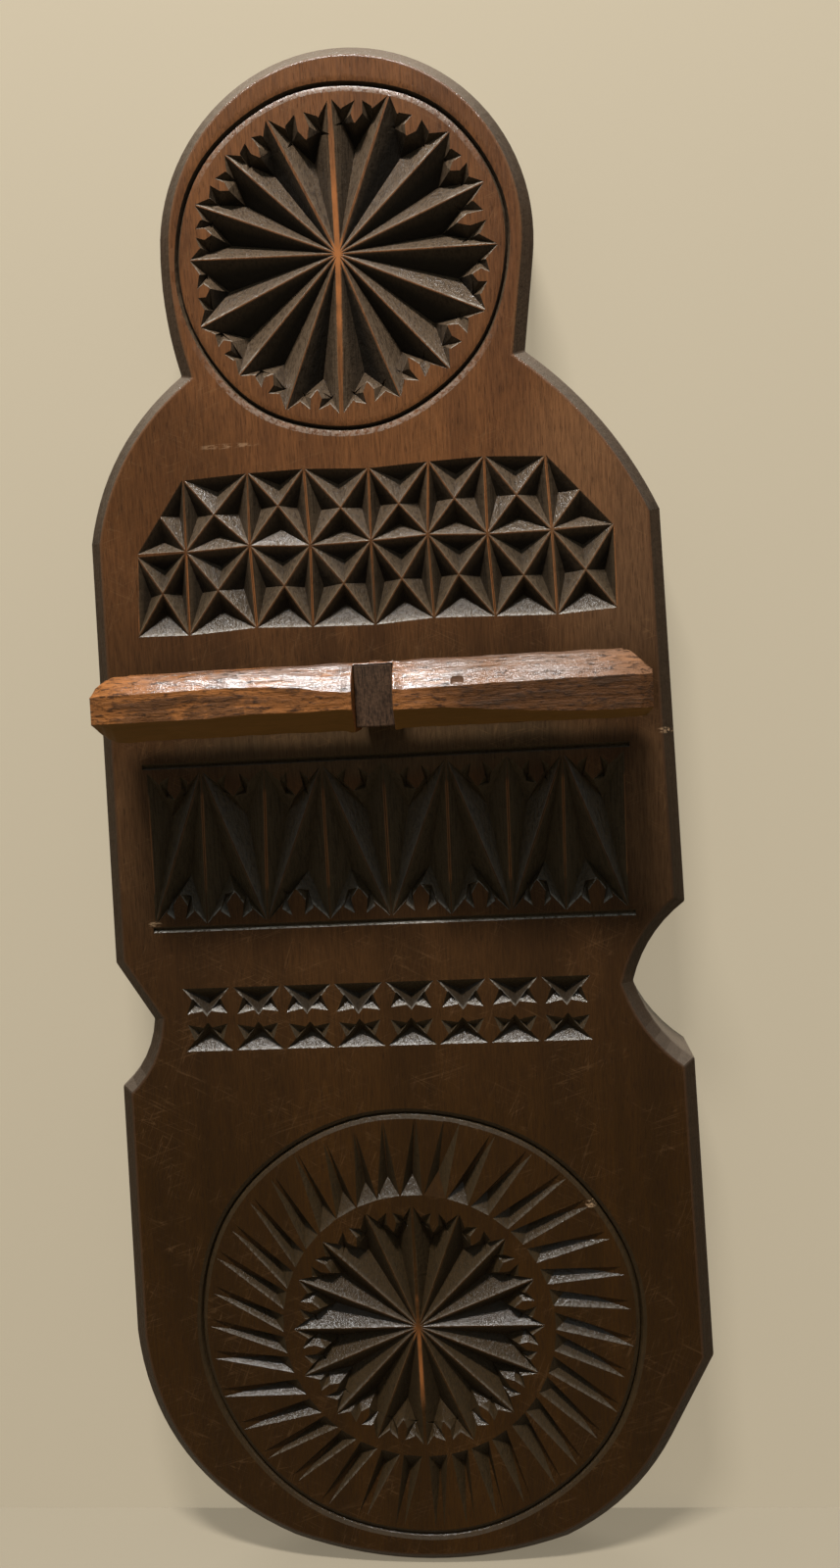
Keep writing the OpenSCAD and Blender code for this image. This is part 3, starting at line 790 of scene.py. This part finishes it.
bar_low, bar_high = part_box("crossbar")
arm_half = arm_high[0] / MM
arm_end = -arm_low[1] / MM
arm_up = (arm_high[2] - foot_z) / MM - bar_h0
bar_back = -bar_high[1] / MM
lip_t, lap_floor, tenon_half = 3.5, 0.4, 4.8
arm_side = [(0, -tenon_half), (board_t, -tenon_half), (board_t, -arm_up), (arm_end, -arm_up),
            (arm_end, arm_up), (arm_end - lip_t, arm_up), (arm_end - lip_t, lap_floor),
            (bar_back, lap_floor), (bar_back, arm_up), (board_t, arm_up), (board_t, tenon_half),
            (0, tenon_half)]
arm = slab("bracket_arm", [spot(-arm_half, bar_h0 + up, out) for out, up in arm_side],
           (2 * arm_half * MM, 0, 0))
round_edges(arm, 0.3, 30)
kerf_reach, kerf = 6, [(-1, -0.95), (12, -0.3), (12, 0.3), (-1, 0.95)]
saw_cut = slab("wedge_kerf", [spot(-kerf_reach, bar_h0 + up, out) for out, up in kerf],
               (2 * kerf_reach * MM, 0, 0))
cut_away(arm, [saw_cut])

dark, tree, shader, where = new_material("arm_end_grain", 0.7, 0.12)
outwards = mapped(tree, where, turn=(math.pi / 2, 0, 0))
wood = grain_on(tree, outwards, {"Fibre Size": 1500.0})
brown = mixed(tree, wood["Figure"], tint(104, 78, 58), tint(80, 59, 43))
brown = mixed(tree, times(tree, wood["Fibres"], 0.5), brown, tint(40, 28, 20))
brown = mixed(tree, times(tree, wood["Pores"], 0.8), brown, tint(26, 18, 13))
sawn = noise(tree, mapped(tree, where, (1, 1, 0.15)), 2400, 3, 0.7)
brown = mixed(tree, ramp(tree, sawn, 0.48, 0.62, 0.7), brown, tint(30, 21, 15))
tree.links.new(brown, shader.inputs["Base Color"])
bump = add_node(tree, "ShaderNodeBump", {"Height": sawn, "Strength": 0.4, "Distance": 0.0003})
tree.links.new(bump.outputs[0], shader.inputs["Normal"])
arm.data.materials.append(dark)
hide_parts("arm")
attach(arm, "root")


# The crossbar
# A stick of paler golden wood, hewn to rough facets with a knife and darkened by handling.
# It is notched from below over the arm and locked there by a pin, so that spoons hang behind it.

bar_left, bar_right = bar_low[0] / MM, bar_high[0] / MM
bar_front = -bar_low[1] / MM
bar_top = (bar_high[2] - bar_low[2]) / MM / 2
facet_x = [-63, -49, -38, -28, -17, -7, 4, 17, 31, 44, 61]
facet_upper = [5.0, 4.8, 4.6, 4.6, 5.2, 6.9, 6.8, 6.6, 6.4, 6.2, 5.4]
facet_lower = [4.5, 4.6, 4.5, 5.2, 4.8, 5.2, 4.6, 4.4, 3.1, 2.2, 1.8]


def along_bar(values, x):
    """A hewn facet's height at a place along the bar."""
    for i in range(len(facet_x) - 2):
        if x < facet_x[i + 1]:
            break
    share = (x - facet_x[i]) / (facet_x[i + 1] - facet_x[i])
    return values[i] + (values[i + 1] - values[i]) * min(max(share, 0), 1)


def bar_section(x):
    """The nine corners of the bar's section at x, as out and up, starting at the lower back."""
    upper, lower = along_bar(facet_upper, x), along_bar(facet_lower, x)
    slip = [hand.uniform(0, 0.35) for _ in range(8)]
    left_end = max(0, 1 - (x - bar_left) / 6) ** 2
    right_end = max(0, 1 - (bar_right - x) / 4) ** 2
    high, deep = bar_top - 4.6 * left_end, bar_top - 3.2 * left_end
    front = bar_front - 1.2 * left_end - right_end
    corners = [(bar_back + slip[0], -bar_top + 1.2), (bar_back + 1.2, -bar_top + slip[1]),
               (front - lower * 0.85, -bar_top + slip[2]), (front - slip[3], -bar_top + lower),
               (front - slip[4], bar_top - upper), (front - 0.32 * upper, bar_top - 0.48 * upper),
               (front - 0.82 * upper - slip[5], bar_top - 0.6), (bar_back + 1.2, bar_top - slip[6]),
               (bar_back + slip[7], bar_top - 1.2)]
    return [(out, min(max(up, -deep), high)) for out, up in corners]


def around(places):
    """The numbers of a section's points, in order round its middle."""
    middle = sum(places, Vector()) / len(places)
    spokes = [place - middle for place in places]
    return sorted(range(len(places)), key=lambda i: math.atan2(spokes[i].z, spokes[i].y))


stations = [bar_left + d for d in (0, 1.2, 2.8)]
stations += [bar_left + 5 + (bar_right - bar_left - 8) * i / 22 for i in range(23)]
stations += [bar_right - 1.2, bar_right]
bar = slab("hewn_crossbar", [spot(bar_left, bar_h0 + up, out) for out, up in bar_section(bar_left)],
           ((stations[1] - stations[0]) * MM, 0, 0))
bpy.ops.object.mode_set(mode="EDIT")


def at_station(x):
    """A test for a face that lies wholly across the bar at x."""
    return lambda face: all(abs(v.co.x - x * MM) < 0.1 * MM for v in face.verts)


for before, x in zip(stations, stations[1:]):
    if before > bar_left:
        step = ((x - before) * MM, 0, 0)
        bpy.ops.mesh.extrude_region_move(TRANSFORM_OT_translate={"value": step})
    pick_faces(bar, at_station(x))
    shape = bmesh.from_edit_mesh(bar.data)
    ring = [v for v in shape.verts if v.select]
    corners = [spot(x, bar_h0 + up, out) for out, up in bar_section(x)]
    for i, j in zip(around([v.co for v in ring]), around(corners)):
        ring[i].co = corners[j]
    bmesh.update_edit_mesh(bar.data)
bpy.ops.mesh.select_all(action="SELECT")
bpy.ops.mesh.normals_make_consistent(inside=False)
bpy.ops.object.mode_set(mode="OBJECT")


def end_cut(x, up, size):
    """A square bar on edge that cuts off one corner of the crossbar's end."""
    corners = [spot(x + dx * size, bar_h0 + up * bar_top + dy * size, bar_back - 1)
               for dx, dy in ((1, 0), (0, 1), (-1, 0), (0, -1))]
    return slab("end_cut", corners, (0, -(bar_front - bar_back + 2) * MM, 0))


lap_front = arm_end - lip_t - play
lap = [(bar_back - 1, -bar_top - 1), (bar_front + 1, -bar_top - 1), (bar_front + 1, arm_up + play),
       (lap_front, arm_up + play), (lap_front, lap_floor), (bar_back - 1, lap_floor)]
lap_half = arm_half + play
dent_depth = 1.25
dent = [spot(x, bar_h0 + up, bar_front - dent_depth)
        for x, up in ((17.5, 1.9), (19.6, 1.9), (19.6, 3.9), (17.5, 3.9))]
lap_cut = slab("lap", [spot(-lap_half, bar_h0 + up, out) for out, up in lap], (2 * lap_half * MM, 0, 0))
cut_away(bar, [lap_cut, slab("dent", dent, (0, -4 * MM, 0)),
               end_cut(bar_right, 1, 5.2), end_cut(bar_right, -1, 2)])
round_edges(bar, 0.5, 16)
bpy.ops.object.select_all(action="DESELECT")
bar.select_set(True)
bpy.ops.object.mode_set(mode="EDIT")
bpy.ops.mesh.select_all(action="SELECT")
bpy.ops.mesh.quads_convert_to_tris()
bpy.ops.mesh.subdivide(number_cuts=3)
bpy.ops.object.mode_set(mode="OBJECT")
plain_middle, plain_back = 6, 2
hewn = bar.vertex_groups.new(name="hewn")
hewn.add([v.index for v in bar.data.vertices
          if abs(v.co.x) > plain_middle * MM and -v.co.y > (bar_back + plain_back) * MM], 1, "REPLACE")
clouds = bpy.data.textures.new("knife_work", "CLOUDS")
clouds.noise_scale = 0.006
clouds.noise_depth = 3
uneven = bar.modifiers.new("uneven", "DISPLACE")
uneven.texture = clouds
uneven.vertex_group = "hewn"
uneven.mid_level = 1.0
uneven.strength = 0.7 * MM
bpy.ops.object.modifier_apply(modifier=uneven.name)
smooth_faces(bar, 30)

# How the facets are turned, and where the bar is handled, weathered or dusky
golden, tree, shader, where = new_material("hewn_golden_wood", None, 0.12)
along = mapped(tree, where, turn=(0, math.pi / 2, 0))
wood = grain_on(tree, along, {"Figure Size": 150.0})
x, height, _ = in_mm(tree, where)
facing = facing_of(tree)
blotch = noise(tree, where, 90, 6, 0.65)
split = noise(tree, mapped(tree, where, (0.12, 1, 1)), 700, 4, 0.65)
flecks = noise(tree, mapped(tree, where, (0.3, 1, 1)), 1300, 4, 0.72)
upper = ramp(tree, facing["Z"], 0.2, 0.45)
under = ramp(tree, times(tree, facing["Z"], -1), 0.2, 0.5)
front = minus(tree, rest(tree, upper), under)
from_arm = math_of(tree, "ABSOLUTE", x)
near_arm = rest(tree, ramp(tree, from_arm, 8, 26))
bar_ends = ramp(tree, from_arm, 38, 58)
right_side = ramp(tree, x, 4, 26)
ragged = plus(tree, times(tree, blotch, 1.2), times(tree, split, 0.8))
grey_left = times(tree, patch(tree, x, height, (-44, 219.5), (20, 4.5)), 0.2)
weathered = times(tree, front, ramp(tree, plus(tree, ragged, grey_left), 0.98, 1.12))
weathered = times(tree, weathered, rest(tree, near_arm))
dusky = times(tree, times(tree, front, right_side), 0.8)
handled = times(tree, upper, rest(tree, bar_ends))
# Greyed where hands rubbed it, and partly a painted sheen on the upper facets
greyed_and_sheen = times(tree, handled, ramp(tree, ragged, 0.85, 1.1))
# A painted sheen on the upper facets at the right
painted_sheen_right = times(tree, times(tree, upper, right_side), 0.5)

# Golden wood, dark in front on the right, greyed where hands rubbed it with a painted sheen on the upper
# facets, olive with painted shade underneath, flecked all over
brown = mixed(tree, wood["Figure"], tint(184, 116, 60), tint(128, 78, 38))
brown = mixed(tree, times(tree, wood["Fibres"], 0.5), brown, tint(84, 49, 24))
brown = mixed(tree, times(tree, front, 0.3), brown, tint(140, 88, 46))
brown = mixed(tree, dusky, brown, tint(62, 40, 23))
brown = mixed(tree, times(tree, weathered, 0.58), brown, tint(54, 41, 30))
brown = mixed(tree, times(tree, greyed_and_sheen, 0.8), brown, tint(146, 124, 112))
brown = mixed(tree, painted_sheen_right, brown, tint(122, 98, 80))
# The underside: olive, its own tone, and darker as painted shade where it looks down
brown = mixed(tree, times(tree, under, 0.85), brown, tint(94, 66, 24))
dark_flecks = times(tree, ramp(tree, flecks, 0.48, 0.66), minus(tree, 0.85, under))
brown = mixed(tree, dark_flecks, brown, tint(44, 29, 19))
round_dent = times(tree, patch(tree, x, height, (18.5, 223.9), (2, 2)), 0.5)
brown = mixed(tree, round_dent, brown, tint(124, 100, 84))
tree.links.new(brown, shader.inputs["Base Color"])

# Handling has polished the upper facets, most of all on the left
rubbed_off = times(tree, handled, times(tree, right_side, 0.65))
tree.links.new(minus(tree, handled, rubbed_off), shader.inputs["Coat Weight"])
shader.inputs["Coat Roughness"].default_value = 0.24
shader.inputs["Coat IOR"].default_value = 1.9
gloss = plus(tree, 0.55, times(tree, minus(tree, blotch, 0.5), 0.3))
tree.links.new(gloss, shader.inputs["Roughness"])
relief = plus(tree, times(tree, split, 2), times(tree, blotch, 2.5))
relief = plus(tree, relief, times(tree, flecks, 0.8))
relief = times(tree, relief, rest(tree, times(tree, under, 0.8)))
bump = add_node(tree, "ShaderNodeBump", {"Height": relief, "Strength": 0.6, "Distance": 0.0004})
tree.links.new(bump.outputs[0], shader.inputs["Normal"])
tree.links.new(bump.outputs[0], shader.inputs["Coat Normal"])
bar.data.materials.append(golden)
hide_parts("crossbar")
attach(bar, "root")


# The tenon wedge and the lap pin
# A thin wedge is driven into the tenon's saw cut from behind, and a round pin through the bar into the
# arm. Both are whittled from pale wood that has darkened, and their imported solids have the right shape.

pale, tree, shader, where = new_material("whittled_pale_wood", 0.55)
wood = grain_on(tree, where, {"Fibre Size": 1600.0})
brown = mixed(tree, wood["Figure"], tint(134, 92, 56), tint(104, 68, 40))
brown = mixed(tree, times(tree, wood["Fibres"], 0.5), brown, tint(70, 44, 26))
tree.links.new(brown, shader.inputs["Base Color"])
bump = add_node(tree, "ShaderNodeBump", {"Height": wood["Fibres"], "Strength": 0.4, "Distance": 0.0002})
tree.links.new(bump.outputs[0], shader.inputs["Normal"])
for node in ("tenon_wedge", "lap_pin"):
    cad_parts[node].data.materials.clear()
    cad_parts[node].data.materials.append(pale)


# The stage
# A plain pale floor under the foot and a plain pale wall just behind the back, lit by one lamp high up
# in front and a weak one behind. The wall lets light and view through from behind.

bpy.ops.object.select_all(action="DESELECT")
bpy.ops.mesh.primitive_plane_add(size=4, location=(0, -1, foot_z))
floor = bpy.context.object
floor.name = "floor"
bpy.ops.mesh.primitive_plane_add(size=4, location=(0, 0.0015, foot_z), rotation=(math.pi / 2, 0, 0))
wall = bpy.context.object
wall.name = "wall"


def pale_stage(name, colour, glow, see_through):
    """A pale surface that shows its own colour, keeps shadows, and throws little light back."""
    material, tree, shader, _ = new_material(name, 0.9, 0.2)
    shader.inputs["Base Color"].default_value = tint(132, 122, 104)
    rays = tree.nodes.new("ShaderNodeLightPath").outputs
    seen = math_of(tree, "MAXIMUM", rays["Is Camera Ray"], rays["Is Glossy Ray"])
    seen = math_of(tree, "MAXIMUM", seen, rays["Is Transmission Ray"])
    shader.inputs["Emission Color"].default_value = colour
    tree.links.new(times(tree, seen, glow), shader.inputs["Emission Strength"])
    if see_through:
        behind = tree.nodes.new("ShaderNodeNewGeometry").outputs["Backfacing"]
        through = math_of(tree, "MAXIMUM", behind, rays["Is Shadow Ray"])
        clear = tree.nodes.new("ShaderNodeBsdfTransparent")
        layers = {0: through, 1: shader.outputs[0], 2: clear.outputs[0]}
        both = add_node(tree, "ShaderNodeMixShader", layers)
        tree.links.new(both.outputs[0], tree.nodes["Material Output"].inputs["Surface"])
    return material


cream = tint(190, 176, 150)
floor.data.materials.append(pale_stage("pale_floor", cream, 0.4, False))
wall.data.materials.append(pale_stage("pale_wall", cream, 0.66, True))


def soft_lamp(name, place, target, width, height, watts):
    """An oblong lamp that looks at a target."""
    lamp = bpy.data.objects.new(name, bpy.data.lights.new(name, "AREA"))
    lamp.data.shape = "RECTANGLE"
    lamp.data.size, lamp.data.size_y = width, height
    lamp.data.energy = watts
    lamp.location = place
    lamp.rotation_euler = (Vector(target) - Vector(place)).to_track_quat("-Z", "Y").to_euler()
    bpy.context.collection.objects.link(lamp)


rack_middle = spot(0, 200, board_t)
soft_lamp("key_lamp", spot(-60, 1045, 430), rack_middle, 0.24, 0.06, 12.2)
soft_lamp("back_lamp", (-0.3, 0.9, 0.5), rack_middle, 0.6, 0.6, 5)
world = bpy.data.worlds.new("pale_room")
world.use_nodes = True
tree = world.node_tree
eye = tree.nodes.new("ShaderNodeLightPath").outputs["Is Camera Ray"]
room_light = mixed(tree, eye, tint(222, 243, 255), tint(240, 234, 222))
tree.links.new(room_light, tree.nodes["Background"].inputs["Color"])
room_level = plus(tree, times(tree, eye, 0.42), 0.32)
tree.links.new(room_level, tree.nodes["Background"].inputs["Strength"])
bpy.context.scene.world = world


# The camera
# It stands where the photograph was taken, close in front of the rack and level with the bar.

camera = bpy.data.objects.new("camera", bpy.data.cameras.new("camera"))
picture_h, focal_px = 1600, 1150
camera.data.sensor_width = 36
camera.data.lens = focal_px / picture_h * camera.data.sensor_width
camera.data.clip_start = 0.01
ahead, up = Vector((-0.0728, 0.9941, -0.0803)), Vector((0.0469, 0.0839, 0.9954))
right = ahead.cross(up).normalized()
up = right.cross(ahead)
turn = Matrix((right, up, -ahead)).transposed().to_4x4()
camera.matrix_world = Matrix.Translation((0.0272, -0.2873, -0.105)) @ turn
bpy.context.collection.objects.link(camera)
bpy.context.scene.camera = camera
